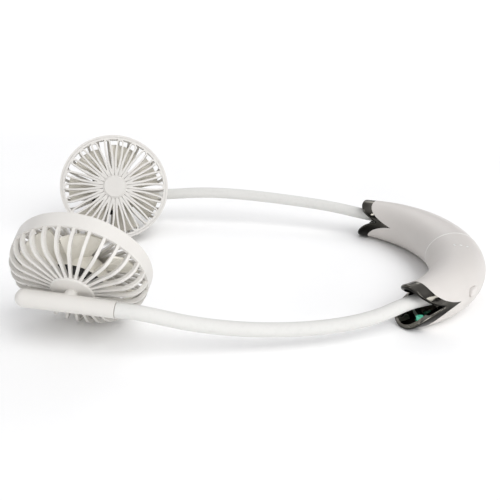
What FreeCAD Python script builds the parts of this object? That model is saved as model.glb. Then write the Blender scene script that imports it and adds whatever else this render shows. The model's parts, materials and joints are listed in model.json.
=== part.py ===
import FreeCAD, Part
import Sketcher
import math
import operator
import os
from types import SimpleNamespace

# Neck fan: a hollow crescent worn behind the neck, two bendable arms and a caged fan on each arm.
# Sizes are in millimetres and degrees. The wearer looks along -X, so the left arm is on the -Y side.

SIZES = {
    # Crescent housing, bent about its own centre, and where that centre stands
    "bend_radius": 76.0,
    "mouth_angle": 66.0,
    "mid_width": 37.6,
    "mid_height": 33.6,
    "end_width": 23.0,
    "end_height": 29.8,
    "shell_wall": 1.8,
    "seam_width": 0.9,
    "seam_depth": 0.5,
    "seam_play": 0.1,
    "housing_x": 55.4,
    "housing_y": 2.3,
    "housing_yaw": -1.95,
    # Fish-mouth bezels at both ends of the crescent
    "mouth_slant": 15.3,
    "cusp_level": 17.2,
    "jaw_reach": 5.6,
    "jaw_depth": 16.6,
    "band_width": 8.5,
    "shell_jaw_depth": 22.0,
    "spigot_depth": 16.0,
    "petal_lift": 0.6,
    "band_gap": 0.12,
    "spigot_reach": 4.0,
    "spigot_play": 0.12,
    "lip_wall": 1.2,
    "lip_round": 1.2,
    "touch": 0.02,
    "throat_plate": 1.8,
    "throat_setback": 0.4,
    "plate_bite": 0.8,
    # Status light in the lower jaw of the left mouth
    "status_length": 4.6,
    "status_width": 3.8,
    "status_reach": 7.2,
    "status_offset": 2.5,
    "status_floor": 3.2,
    "status_lean": 20.0,
    "status_height": 2.8,
    "status_play": 0.05,
    # Button and charging socket on the outer wall, one on each half
    "side_setback": 35.0,
    "side_level": 19.5,
    "button_length": 9.0,
    "button_height": 5.5,
    "button_proud": 1.1,
    "button_play": 0.2,
    "button_travel": 0.8,
    "flange_setback": 4.2,
    "flange_rim": 1.0,
    "flange_thickness": 1.0,
    "switch_side": 6.0,
    "switch_body": 3.4,
    "plunger_diameter": 3.2,
    "plunger_length": 0.8,
    "press_play": 0.2,
    "board_length": 12.0,
    "board_height": 18.6,
    "board_thickness": 1.2,
    "boss_diameter": 3.2,
    "boss_spacing": 15.0,
    "socket_width": 9.0,
    "socket_height": 3.3,
    "socket_wall": 0.35,
    "socket_recess": 0.6,
    "socket_floor": 2.0,
    "tongue_width": 6.4,
    "tongue_thickness": 0.7,
    "tongue_setback": 1.2,
    "chip_side": 4.0,
    "chip_height": 1.0,
    # Battery, its tray and the screws under the housing
    "tray_floor": 4.5,
    "tray_thickness": 2.0,
    "tray_length": 76.0,
    "tray_play": 0.25,
    "cell_diameter": 18.2,
    "cell_length": 65.0,
    "cell_setback": 4.0,
    "cell_play": 0.1,
    "cell_edge": 0.8,
    "hoop_wall": 1.6,
    "hoop_width": 4.0,
    "hoop_spacing": 36.0,
    "screw_diameter": 2.0,
    "screw_head": 4.2,
    "screw_head_depth": 1.1,
    "screw_sink": 0.2,
    "screw_length": 5.6,
    "screw_play": 0.05,
    "screw_boss": 5.0,
    "screw_near": 13.3,
    "screw_far": 30.78,
    # Battery lights on top of the left half
    "light_angle": 15.3,
    "light_step": 4.0,
    "light_diameter": 1.8,
    "light_play": 0.05,
    "light_bar_width": 2.6,
    "light_bar_height": 1.6,
    "light_bar_gap": 1.2,
    # Bendable arms
    "neck_level": 17.5,
    "neck_diameter": 8.5,
    "neck_bore": 5.8,
    "core_diameter": 5.7,
    "core_bore": 2.7,
    "lead_diameter": 2.4,
    "neck_root": 20.0,
    "neck_straight": 4.0,
    "socket_tube_wall": 1.6,
    "socket_tube_play": 0.15,
    "ferrule_diameter": 10.2,
    "ferrule_length": 4.0,
    "lead_tail": 2.0,
    "neck_lead_in": 15.0,
    # Fan heads and where they stand
    "toe_in": 9.65,
    "rise": 2.7,
    "left_tilt": 24.0,
    "right_tilt": 31.3,
    "head_x": -115.7,
    "head_y": 90.6,
    "left_head_level": 28.6,
    "right_head_level": 24.7,
    # Tube that carries the fan and turns on the arm
    "tube_seam_diameter": 9.6,
    "tube_tip_diameter": 10.6,
    "tube_rear": 27.2,
    "tube_front": 29.4,
    "seam_gap": 0.3,
    "plug_diameter": 6.4,
    "plug_reach": 16.0,
    "plug_tail": 8.0,
    "plug_end_gap": 1.0,
    "swivel_play": 0.05,
    "stub_diameter": 7.2,
    "stub_foot": 8.6,
    "stub_sink": 2.0,
    "tenon_diameter": 5.2,
    "tenon_reach": 0.8,
    "lead_play": 0.2,
    # Cage behind the fan
    "fan_diameter": 80.0,
    "hub_back": 7.0,
    "hub_diameter": 25.0,
    "hub_thickness": 3.5,
    "hub_round": 1.2,
    "rim_back": 21.0,
    "rim_front": 30.3,
    "rim_wall": 1.5,
    "rim_taper": 0.5,
    "rim_ledge": 0.9,
    "rim_ledge_depth": 2.0,
    "rib_count": 30,
    "rib_width": 1.7,
    "rib_depth": 2.2,
    "rib_bite": 1.5,
    "rib_inset": 0.2,
    "shoulder_radius": 12.0,
    # Grille in front of the fan
    "petal_count": 22,
    "grille_ring": 1.65,
    "grille_play": 0.15,
    "grille_rise": 2.7,
    "loop_depth": 2.0,
    "loop_width": 1.15,
    "loop_tip": 5.0,
    "loop_root": 1.7,
    "loop_bite": 0.5,
    "loop_opening": 13.0,
    "loop_bulge": 90.0,
    "grille_hub": 17.8,
    "grille_hub_rise": 1.1,
    # Motor and impeller
    "plate_diameter": 37.0,
    "plate_hole": 10.4,
    "plate_thickness": 1.8,
    "clip_diameter": 9.2,
    "clip_play": 0.02,
    "motor_diameter": 19.0,
    "motor_length": 10.7,
    "motor_round": 1.0,
    "shaft_diameter": 2.0,
    "shaft_play": 0.03,
    "shaft_depth": 9.0,
    "shaft_reach": 3.0,
    "impeller_diameter": 68.0,
    "cup_diameter": 31.0,
    "cup_wall": 1.8,
    "cup_length": 12.0,
    "cup_gap": 1.2,
    "cup_round": 2.5,
    "cup_boss": 6.4,
    "boss_gap": 0.3,
    "blade_count": 7,
    "blade_root_chord": 9.0,
    "blade_tip_chord": 23.0,
    "blade_root_pitch": 9.0,
    "blade_tip_pitch": 8.0,
    "blade_thickness": 1.3,
    "blade_middle": 20.4,
    "blade_bite": 0.9,
    "blade_root_camber": 24.0,
    "blade_tip_camber": 44.0,
    "cut_overrun": 5.0,
}

# Sections of the crescent, as shares of the mouth angle
SECTION_SHARES = (-1.24, -1.0, -0.72, -0.36, 0.0, 0.36, 0.72, 1.0, 1.24)

# Points that draw one oval section, and the degree of the skin over the sections
OVAL_POINTS = 12
SURFACE_DEGREE = 3

# How much of a petal's half ellipse lies outside the cusp
PETAL_SHARE = 0.935

# How much of the button's proud edge is rounded
CROWN_SHARE = 0.8

# Each corner of an arm's route is rounded over this share of its shorter run
CORNER_SHARE = 0.45

# Bend of the lead inside the fan head, as a share of its thickness
LEAD_BEND_SHARE = 0.625

# Middle points of each arm's route between the housing and the fan head
LEFT_ROUTE = ((58.0, -81.0, 13.8), (28.0, -89.6, 12.5), (-9.0, -95.0, 13.9), (-45.0, -97.4, 18.8))
RIGHT_ROUTE = ((60.0, 81.8, 20.2), (28.0, 90.0, 21.9), (-8.0, 95.2, 24.2), (-42.0, 97.6, 25.2))

LEFT = -1
RIGHT = 1
LIGHT_STEPS = (-1, 0, 1)
FULL_TURN = 360
QUARTER_TURN = 90

Vector = FreeCAD.Vector
UP = Vector(0, 0, 1)
ALONG_X = FreeCAD.Rotation(Vector(0, 1, 0), QUARTER_TURN)

doc = FreeCAD.newDocument("NeckFan")
sheet = doc.addObject("Spreadsheet::Sheet", "Sizes")
for row, (name, amount) in enumerate(SIZES.items(), start=1):
    sheet.set("A%d" % row, name)
    sheet.set("B%d" % row, str(amount))
    sheet.setAlias("B%d" % row, name)
doc.recompute()


class Size:
    """A number that remembers the sheet expression it comes from."""

    def __init__(self, number, text):
        self.number = number
        self.text = text

    def __add__(self, other):
        return combine(self, "+", other, operator.add)

    def __sub__(self, other):
        return combine(self, "-", other, operator.sub)

    def __mul__(self, other):
        return combine(self, "*", other, operator.mul)

    def __truediv__(self, other):
        return combine(self, "/", other, operator.truediv)

    def __neg__(self):
        return self * -1


def as_size(value):
    if isinstance(value, Size):
        return value
    return Size(float(value), repr(float(value)))


def combine(first, sign, second, work):
    first = as_size(first)
    second = as_size(second)
    text = "(%s %s %s)" % (first.text, sign, second.text)
    return Size(work(first.number, second.number), text)


ZERO = as_size(0)
size = SimpleNamespace(**{name: Size(float(sheet.get(name)), "Sizes." + name) for name in SIZES})
num = SimpleNamespace(**{name: float(sheet.get(name)) for name in SIZES})
finished = {}


def bind(thing, **sizes):
    for name, value in sizes.items():
        thing.setExpression(name, value.text)
    return thing


def finish(thing, label, placement=None):
    """Name a sub-part, put it in its place and keep it for writing."""
    thing.Label = label
    if placement is not None:
        thing.Placement = placement
    finished[label] = thing
    return thing


def form(name, shape):
    made = doc.addObject("Part::Feature", name)
    made.Shape = shape
    return made


def boolean(kind, name, base, tool):
    made = doc.addObject("Part::" + kind, name)
    made.Base = base
    made.Tool = tool
    return made


def joined(name, shapes):
    made = doc.addObject("Part::MultiFuse", name)
    made.Shapes = shapes
    return made


def cylinder(name, diameter, height, placement):
    made = doc.addObject("Part::Cylinder", name)
    bind(made, Radius=diameter / 2, Height=height)
    made.Placement = placement
    return made


def placed_copy(master, label, placement):
    """The same moulding used once more, at its own place."""
    made = doc.addObject("Part::Compound", label)
    made.Links = [master]
    return finish(made, label, placement)


# Sketches and turned bodies

def new_body(name):
    return doc.addObject("PartDesign::Body", name)


def origin_feature(body, role):
    return next(item for item in body.Origin.OriginFeatures if item.Role == role)


def new_sketch(body, role, name):
    sketch = body.newObject("Sketcher::SketchObject", name)
    sketch.AttachmentSupport = [(origin_feature(body, role), "")]
    sketch.MapMode = "FlatFace"
    return sketch


def arc_between(start, finish_point, radius, turn):
    """Arc of less than half a circle; turn is 1 where it runs counter-clockwise, else -1."""
    chord = finish_point - start
    half = chord.Length / 2
    side = Vector(-chord.y, chord.x, 0).normalize()
    centre = start + chord / 2 + side * (turn * math.sqrt(radius ** 2 - half ** 2))
    angles = [math.atan2(point.y - centre.y, point.x - centre.x) for point in (start, finish_point)]
    if turn < 0:
        angles.reverse()
    return Part.ArcOfCircle(Part.Circle(centre, UP, radius), *angles)


def hold_point(sketch, geometry, end, x, y):
    """Tie one point of a sketch to its sizes."""
    for kind, axis, value in (("DistanceX", -2, x), ("DistanceY", -1, y)):
        if value.number == 0:
            sketch.addConstraint(Sketcher.Constraint("PointOnObject", geometry, end, axis))
        elif value.number > 0:
            index = sketch.addConstraint(Sketcher.Constraint(kind, -1, 1, geometry, end, value.number))
            sketch.setExpression("Constraints[%d]" % index, value.text)
        else:
            index = sketch.addConstraint(Sketcher.Constraint(kind, geometry, end, -1, 1, -value.number))
            sketch.setExpression("Constraints[%d]" % index, (-value).text)


def outline(sketch, corners):
    """Closed outline through corners (x, y); (x, y, radius, turn) starts an arc to the next corner."""
    ends = []
    for corner, following in zip(corners, corners[1:] + corners[:1]):
        start = Vector(corner[0].number, corner[1].number, 0)
        stop = Vector(following[0].number, following[1].number, 0)
        if len(corner) == 2:
            geometry = sketch.addGeometry(Part.LineSegment(start, stop), False)
            ends.append((geometry, 1, 2))
            continue
        radius, turn = corner[2:]
        geometry = sketch.addGeometry(arc_between(start, stop, radius.number, turn), False)
        ends.append((geometry, 1, 2) if turn > 0 else (geometry, 2, 1))
        index = sketch.addConstraint(Sketcher.Constraint("Radius", geometry, radius.number))
        sketch.setExpression("Constraints[%d]" % index, radius.text)
    for corner, here, after in zip(corners, ends, ends[1:] + ends[:1]):
        sketch.addConstraint(Sketcher.Constraint("Coincident", here[0], here[2], after[0], after[1]))
        hold_point(sketch, here[0], here[1], corner[0], corner[1])


def turned(body, name, corners, kind="Revolution"):
    """Turn an outline, drawn as radius and height, about the body's own axis."""
    sketch = new_sketch(body, "XZ_Plane", name + "Sketch")
    outline(sketch, corners)
    feature = body.newObject("PartDesign::" + kind, name)
    feature.Profile = sketch
    feature.ReferenceAxis = (sketch, ["V_Axis"])
    feature.Angle = FULL_TURN
    return feature


def turned_piece(name, corners):
    body = new_body(name)
    turned(body, name + "Turn", corners)
    return body


def padded(body, name, sketch, length, side="One side"):
    feature = body.newObject("PartDesign::Pad", name)
    feature.Profile = sketch
    feature.SideType = side
    return bind(feature, Length=length)


def round_pattern(body, name, feature, count):
    pattern = body.newObject("PartDesign::PolarPattern", name)
    pattern.Originals = [feature]
    pattern.Axis = (origin_feature(body, "Z_Axis"), [""])
    pattern.Angle = FULL_TURN
    bind(pattern, Occurrences=count)
    body.Tip = pattern
    return pattern


# Crescent housing, drawn about the centre of its bend

housing_place = FreeCAD.Placement(
    Vector(num.housing_x, num.housing_y, 0), FreeCAD.Rotation(UP, num.housing_yaw)
)


def section_at(share):
    """Width and height of the crescent at a share of the mouth angle."""
    blend = min(abs(share), 1) ** 2
    width = num.mid_width + (num.end_width - num.mid_width) * blend
    height = num.mid_height + (num.end_height - num.mid_height) * blend
    return width, height


def oval(width, height):
    """Oval wire in the XZ plane, smooth through a few points of the ellipse."""
    angles = [2 * math.pi * step / OVAL_POINTS for step in range(OVAL_POINTS)]
    points = [Vector(width / 2 * math.cos(angle), 0, height / 2 * math.sin(angle)) for angle in angles]
    curve = Part.BSplineCurve()
    curve.interpolate(points, PeriodicFlag=True)
    return Part.Wire(curve.toShape())


def ellipse(width, height):
    """Plain ellipse wire in the XZ plane."""
    ends = [Vector(width / 2, 0, 0), Vector(0, 0, height / 2)]
    ends.sort(key=lambda end: end.Length, reverse=True)
    return Part.Wire(Part.Ellipse(ends[0], ends[1], Vector()).toShape())


def crescent(name, inset):
    """Solid crescent, smaller all round by the inset."""
    wires = []
    for share in SECTION_SHARES:
        width, height = section_at(share)
        wire = oval(width - 2 * inset, height - 2 * inset)
        wire.translate(Vector(num.bend_radius, 0, height / 2))
        wire.rotate(Vector(), UP, share * num.mouth_angle)
        wires.append(wire)
    return form(name, Part.makeLoft(wires, True, False, False, SURFACE_DEGREE))


def on_bend(angle, level):
    return FreeCAD.Rotation(UP, angle).multVec(Vector(num.bend_radius, 0, level))


def mouth_place(side):
    """Frame of a mouth: X out of the slanted mouth, Z up, origin under the arm."""
    turn = side * (QUARTER_TURN + num.mouth_angle - num.mouth_slant)
    return FreeCAD.Placement(on_bend(side * num.mouth_angle, 0), FreeCAD.Rotation(UP, turn))


def neck_place(side):
    """Frame of an arm's root: X along the arm, out of the housing."""
    turn = side * (QUARTER_TURN + num.mouth_angle)
    return FreeCAD.Placement(on_bend(side * num.mouth_angle, num.neck_level), FreeCAD.Rotation(UP, turn))


def side_place(side):
    """Frame on the outer wall: X out of the wall, measured from the centre of the bend."""
    return FreeCAD.Placement(Vector(0, 0, num.side_level), FreeCAD.Rotation(UP, side * side_angle))


def wall_reach():
    """How far the outer wall lies from the centre of the bend where the button sits."""
    width, height = section_at(side_angle / num.mouth_angle)
    rise = num.side_level / (height / 2) - 1
    return num.bend_radius + width / 2 * math.sqrt(1 - rise ** 2)


def mouth_cutter(name, side, tip, depth):
    """All that lies in front of a fish mouth, whose two petals reach to the tip and meet at a cusp."""
    reach = num.bend_radius
    petal_reach = depth / (1 - math.sqrt(1 - PETAL_SHARE ** 2))
    middle = tip - petal_reach
    block = Part.makeBox(reach, 2 * reach, 2 * reach, Vector(middle, -reach, -reach))
    for level in (-num.petal_lift, num.end_height + num.petal_lift):
        petal = ellipse(2 * petal_reach, 2 * abs(level - num.cusp_level) / PETAL_SHARE)
        petal.translate(Vector(middle, -reach, level))
        block = block.cut(Part.Face(petal).extrude(Vector(0, 2 * reach, 0)))
    made = form(name, block)
    made.Placement = mouth_place(side)
    return made


def slot_solid(length, height, start, stop):
    """Round-ended bar along X, with its length across and its height up."""
    straight = (length - height) / 2
    radius = height / 2
    corners = [Vector(start, -straight, -radius), Vector(start, straight, -radius),
               Vector(start, straight, radius), Vector(start, -straight, radius)]
    edges = [
        Part.LineSegment(corners[0], corners[1]).toShape(),
        Part.Arc(corners[1], Vector(start, straight + radius, 0), corners[2]).toShape(),
        Part.LineSegment(corners[2], corners[3]).toShape(),
        Part.Arc(corners[3], Vector(start, -straight - radius, 0), corners[0]).toShape(),
    ]
    return Part.Face(Part.Wire(edges)).extrude(Vector(stop - start, 0, 0))


outer_form = crescent("OuterForm", 0)
inner_form = crescent("InnerForm", num.shell_wall)
spigot_form = crescent("SpigotForm", num.shell_wall + num.spigot_play)
lip_inset = num.shell_wall + num.spigot_play + num.lip_wall
lip_form = crescent("LipForm", lip_inset)
shell_reach = num.jaw_reach - num.band_width
throat = num.jaw_reach - num.jaw_depth - num.throat_setback
plate_middle = throat - num.throat_plate / 2
peg_form = crescent("PegForm", num.shell_wall / 2)
seam_slab = form("SeamSlab", Part.makeBox(2 * num.bend_radius, num.seam_width, 2 * num.bend_radius,
                                          Vector(0, -num.seam_width / 2, -num.bend_radius)))
seam_groove = boolean("Cut", "SeamGroove", seam_slab, crescent("SeamForm", num.seam_depth))
side_angle = num.mouth_angle - math.degrees(num.side_setback / num.bend_radius)
wall = wall_reach()
flange_front = wall - num.flange_setback
button_back = flange_front - num.flange_thickness
plunger_front = button_back - num.button_travel - num.press_play
board_front = plunger_front - num.plunger_length - num.switch_body
tray_top = num.tray_floor + num.tray_thickness
cell_level = tray_top + num.cell_diameter / 2 + num.cell_play


def wall_bosses(side):
    """Two pegs inside the outer wall that carry a board."""
    pegs = []
    for level in (-num.boss_spacing / 2, num.boss_spacing / 2):
        peg = Part.makeCylinder(num.boss_diameter / 2, wall + num.cut_overrun - board_front,
                                Vector(board_front, 0, level), Vector(1, 0, 0))
        pegs.append(peg)
    pair = Part.makeCompound(pegs)
    pair.Placement = side_place(side)
    return pair


def screw_spots(side):
    """Under the bend, two on each side of the seam."""
    aways = (num.screw_near, num.screw_far)
    return [on_bend(side * math.degrees(math.asin(away / num.bend_radius)), num.screw_sink) for away in aways]


def screw_solid(spot, play):
    """Countersunk screw pointing up, thicker all round by the play."""
    radius = num.screw_diameter / 2 + play
    head = Part.makeCone(num.screw_head / 2 + play, radius, num.screw_head_depth, spot)
    shank = Part.makeCylinder(radius, num.screw_length + play, spot)
    return head.fuse(shank).removeSplitter()


def screw_hole(spot):
    """Room for a screw, open below its head."""
    below = Vector(spot.x, spot.y, spot.z - num.cut_overrun)
    way_in = Part.makeCylinder(num.screw_head / 2 + num.screw_play, num.cut_overrun, below)
    return screw_solid(spot, num.screw_play).fuse(way_in).removeSplitter()


light_turn = FreeCAD.Rotation(UP, LEFT * num.light_angle)
light_width, light_height = section_at(num.light_angle / num.mouth_angle)
light_bar_top = light_height - num.shell_wall - num.light_bar_gap


def light_pipe(step, lift, play):
    """Round light in a row across the crescent, from the bar up to the skin."""
    across = step * num.light_step
    skin = light_height / 2 * (1 + math.sqrt(1 - (across / (light_width / 2)) ** 2))
    foot = light_bar_top - num.light_bar_height
    spot = light_turn.multVec(Vector(num.bend_radius + across, 0, foot))
    return Part.makeCylinder(num.light_diameter / 2 + play, skin + lift - foot, spot)


def half_shell(side, label, openings):
    """One hollow half of the crescent with its mouth, pegs and openings."""
    hollow = boolean("Cut", label + "Hollow", outer_form, inner_form)
    reach = 2 * num.bend_radius
    start = num.seam_play / 2 if side == RIGHT else -num.seam_play / 2 - reach
    half_space = form(label + "Side", Part.makeBox(2 * reach, reach, reach,
                                                   Vector(-reach, start, -reach / 2)))
    half = boolean("Common", label + "Half", hollow, half_space)
    mouth = mouth_cutter(label + "Mouth", side, shell_reach - num.band_gap, num.shell_jaw_depth)
    trimmed = boolean("Cut", label + "Trimmed", half, mouth)
    pegs = form(label + "Pegs", wall_bosses(side).common(peg_form.Shape))
    pegged = joined(label + "Pegged", [trimmed, pegs])
    drilled = boolean("Cut", label + "Drilled", pegged, form(label + "Openings", Part.makeCompound(openings)))
    return finish(boolean("Cut", label + "Grooved", drilled, seam_groove), label, housing_place)


def wall_opening(side, length, height, play):
    opening = slot_solid(length + 2 * play, height + 2 * play, button_back, wall + num.cut_overrun)
    opening.Placement = side_place(side)
    return opening


def shell_openings():
    left = [wall_opening(LEFT, num.button_length, num.button_height, num.button_play)]
    left += [screw_hole(spot) for spot in screw_spots(LEFT)]
    left += [light_pipe(step, num.cut_overrun, num.light_play) for step in LIGHT_STEPS]
    right = [wall_opening(RIGHT, num.socket_width, num.socket_height, num.button_play)]
    right += [screw_hole(spot) for spot in screw_spots(RIGHT)]
    return left, right


def rounded_lips(name, jaws, front):
    """The jaws with a round edge where the outside meets the front of the mouth."""
    doc.recompute()
    skin = outer_form.Shape.Shells[0]
    lips = []
    for edge in jaws.Shape.Edges:
        middle = Part.Vertex(edge.valueAt((edge.FirstParameter + edge.LastParameter) / 2))
        if max(middle.distToShape(skin)[0], middle.distToShape(front.Shape)[0]) < num.touch:
            lips.append(edge)
    return form(name, jaws.Shape.makeFillet(num.lip_round, lips))


def bezel(side, label):
    """Fish-mouth end: lips flush with the shell, a spigot inside it, throat plate and arm socket."""
    rear = mouth_cutter(label + "Rear", side, shell_reach, num.shell_jaw_depth)
    lips = boolean("Common", label + "Lips", outer_form, rear)
    deep = mouth_cutter(label + "Deep", side, shell_reach - num.spigot_reach, num.spigot_depth)
    spigot = boolean("Common", label + "Spigot", spigot_form, deep)
    blank = joined(label + "Blank", [lips, spigot])
    hollow = boolean("Cut", label + "Hollow", blank, lip_form)
    front = mouth_cutter(label + "Front", side, num.jaw_reach, num.jaw_depth)
    jaws = rounded_lips(label + "Rounded", boolean("Cut", label + "Jaws", hollow, front), front)
    reach = num.bend_radius
    slab = form(label + "Slab", Part.makeBox(num.throat_plate, reach, reach,
                                             Vector(throat - num.throat_plate, -reach / 2, -reach / 2)))
    slab.Placement = mouth_place(side)
    plate_form = crescent(label + "PlateForm", lip_inset - num.plate_bite)
    plate = boolean("Common", label + "Plate", plate_form, slab)
    inside = FreeCAD.Placement(Vector(-num.neck_root, 0, 0), ALONG_X)
    bore = size.neck_diameter + size.socket_tube_play * 2
    tube = cylinder(label + "Tube", bore + size.socket_tube_wall * 2, size.neck_root,
                    neck_place(side).multiply(inside))
    ahead = form(label + "Ahead", Part.makeBox(reach, reach, reach,
                                               Vector(plate_middle, -reach / 2, -reach / 2)))
    ahead.Placement = mouth_place(side)
    stub = boolean("Cut", label + "Stub", tube, ahead)
    solid = joined(label + "Solid", [jaws, plate, stub])
    through = FreeCAD.Placement(Vector(-num.bend_radius / 2, 0, 0), ALONG_X)
    hole = cylinder(label + "Hole", bore, size.bend_radius, neck_place(side).multiply(through))
    return boolean("Cut", label + "Pierced", solid, hole)


def status_solid(play):
    """Small lens that stands in the lower jaw of the left mouth, drawn along X."""
    return slot_solid(num.status_length + 2 * play, num.status_width + 2 * play, -play, num.status_height)


def make_housing():
    left_openings, right_openings = shell_openings()
    half_shell(LEFT, "housing_shell_left", left_openings)
    half_shell(RIGHT, "housing_shell_right", right_openings)
    finish(bezel(RIGHT, "right_bezel"), "right_bezel", housing_place)
    spot = Vector(-num.status_reach, num.status_offset, num.status_floor)
    upright = FreeCAD.Rotation(Vector(0, 1, 0), -QUARTER_TURN)
    leaning = FreeCAD.Rotation(Vector(1, 0, 0), num.status_lean).multiply(upright)
    status_place = mouth_place(LEFT).multiply(FreeCAD.Placement(spot, leaning))
    window = form("StatusWindow", status_solid(num.status_play))
    window.Placement = status_place
    lit = boolean("Cut", "left_bezel_lit", bezel(LEFT, "left_bezel"), window)
    finish(lit, "left_bezel", housing_place)
    lens = form("status_light", status_solid(0))
    finish(lens, "status_light", housing_place.multiply(status_place))


def make_lights():
    pipes = [light_pipe(step, 0, 0) for step in LIGHT_STEPS]
    length = 2 * num.light_step + num.light_bar_width
    bar = Part.makeBox(length, num.light_bar_width, num.light_bar_height,
                       Vector(num.bend_radius - length / 2, -num.light_bar_width / 2,
                              light_bar_top - num.light_bar_height))
    bar.rotate(Vector(), UP, LEFT * num.light_angle)
    finish(form("battery_lights", bar.multiFuse(pipes).removeSplitter()), "battery_lights", housing_place)


def make_power_pack():
    """Tray with two hoops that hold the cell, and the screws that hold the tray."""
    fit_form = crescent("TrayForm", num.shell_wall + num.tray_play)
    half_tray = num.tray_length / 2
    slab = form("TraySlab", Part.makeBox(2 * num.bend_radius, num.tray_length, num.tray_thickness,
                                         Vector(0, -half_tray, num.tray_floor)))
    floor = boolean("Common", "TrayPlate", fit_form, slab)
    cell_x = num.bend_radius - num.cell_setback
    hoops = []
    for across in (-num.hoop_spacing / 2, num.hoop_spacing / 2):
        start = Vector(cell_x, across - num.hoop_width / 2, cell_level)
        outside = num.cell_diameter / 2 + num.cell_play + num.hoop_wall
        hoops.append(Part.makeCylinder(outside, num.hoop_width, start, Vector(0, 1, 0)))
    spots = screw_spots(LEFT) + screw_spots(RIGHT)
    for spot in spots:
        foot = Vector(spot.x, spot.y, num.shell_wall + num.tray_play)
        hoops.append(Part.makeCylinder(num.screw_boss / 2, tray_top - foot.z, foot))
    grown = joined("TrayGrown", [floor, form("TrayHoops", hoops[0].multiFuse(hoops[1:]))])
    half_cell = num.cell_length / 2
    room = Part.makeCylinder(num.cell_diameter / 2 + num.cell_play, 2 * num.cell_length,
                             Vector(cell_x, -num.cell_length, cell_level), Vector(0, 1, 0))
    holes = [screw_solid(spot, num.screw_play) for spot in spots]
    tray = boolean("Cut", "TrayCut", grown, form("TrayHoles", Part.makeCompound([room] + holes)))
    finish(tray, "battery_tray", housing_place)
    radius = size.cell_diameter / 2
    edge = size.cell_edge
    cell = turned_piece("BatteryCell", [
        (ZERO, ZERO), (radius - edge, ZERO, edge, 1), (radius, edge),
        (radius, size.cell_length - edge, edge, 1), (radius - edge, size.cell_length),
        (ZERO, size.cell_length),
    ])
    lying = FreeCAD.Placement(Vector(cell_x, -half_cell, cell_level),
                              FreeCAD.Rotation(Vector(1, 0, 0), -QUARTER_TURN))
    finish(cell, "battery_cell", housing_place.multiply(lying))
    screws = Part.makeCompound([screw_solid(spot, 0) for spot in spots])
    finish(form("shell_screws", screws), "shell_screws", housing_place)


def board(name, side):
    """Upright board on the pegs of the outer wall."""
    made = doc.addObject("Part::Box", name)
    bind(made, Length=size.board_thickness, Width=size.board_length, Height=size.board_height)
    corner = Vector(board_front - num.board_thickness, -num.board_length / 2, -num.board_height / 2)
    made.Placement = side_place(side).multiply(FreeCAD.Placement(corner, FreeCAD.Rotation()))
    return made


def make_controls():
    finish(board("SwitchBoard", LEFT), "switch_board")
    finished["switch_board"].Placement = housing_place.multiply(finished["switch_board"].Placement)
    side = num.switch_side
    case = Part.makeBox(num.switch_body, side, side, Vector(board_front, -side / 2, -side / 2))
    plunger = Part.makeCylinder(num.plunger_diameter / 2, num.plunger_length,
                                Vector(board_front + num.switch_body, 0, 0), Vector(1, 0, 0))
    finish(form("power_switch", case.fuse(plunger)), "power_switch", housing_place.multiply(side_place(LEFT)))
    cap = slot_solid(num.button_length, num.button_height, button_back, wall + num.button_proud)
    crown = [edge for edge in cap.Edges if edge.BoundBox.XMin > wall]
    cap = cap.makeFillet(num.button_proud * CROWN_SHARE, crown)
    rim = num.flange_rim
    flange = slot_solid(num.button_length + 2 * rim, num.button_height + 2 * rim, button_back, flange_front)
    finish(form("power_button", cap.fuse(flange).removeSplitter()), "power_button",
           housing_place.multiply(side_place(LEFT)))
    chip = Part.makeBox(num.chip_height, num.chip_side, num.chip_side)
    plain = board("MainBoard", RIGHT)
    low = Vector(board_front - num.board_thickness - num.chip_height, -num.chip_side / 2, -num.chip_side / 2)
    chip_form = form("MainChip", chip)
    chip_form.Placement = side_place(RIGHT).multiply(FreeCAD.Placement(low, FreeCAD.Rotation()))
    finish(joined("MainBoardMade", [plain, chip_form]), "main_board", housing_place)
    mouth = wall - num.socket_recess
    case = slot_solid(num.socket_width, num.socket_height, board_front, mouth)
    gap = 2 * num.socket_wall
    room = slot_solid(num.socket_width - gap, num.socket_height - gap, board_front + num.socket_floor,
                      mouth + num.cut_overrun)
    tongue = Part.makeBox(mouth - num.tongue_setback - board_front, num.tongue_width, num.tongue_thickness,
                          Vector(board_front, -num.tongue_width / 2, -num.tongue_thickness / 2))
    finish(form("charge_socket", case.cut(room).fuse(tongue).removeSplitter()), "charge_socket",
           housing_place.multiply(side_place(RIGHT)))


# Fan head, drawn with the tube along X and the fan's axis along Z

rim_radius = size.fan_diameter / 2
rim_back_radius = rim_radius - size.rim_taper
hub_front = size.hub_back + size.hub_thickness
ledge_level = size.rim_front - size.grille_rise
ring_outer = rim_radius - size.rim_wall - size.grille_play
ring_inner = ring_outer - size.grille_ring
plate_front = hub_front + size.plate_thickness
motor_front = plate_front + size.motor_length
boss_back = motor_front + size.boss_gap
cup_front = boss_back + size.shaft_reach - size.boss_gap
cup_radius = size.cup_diameter / 2
tenon_top = hub_front + size.tenon_reach


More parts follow.
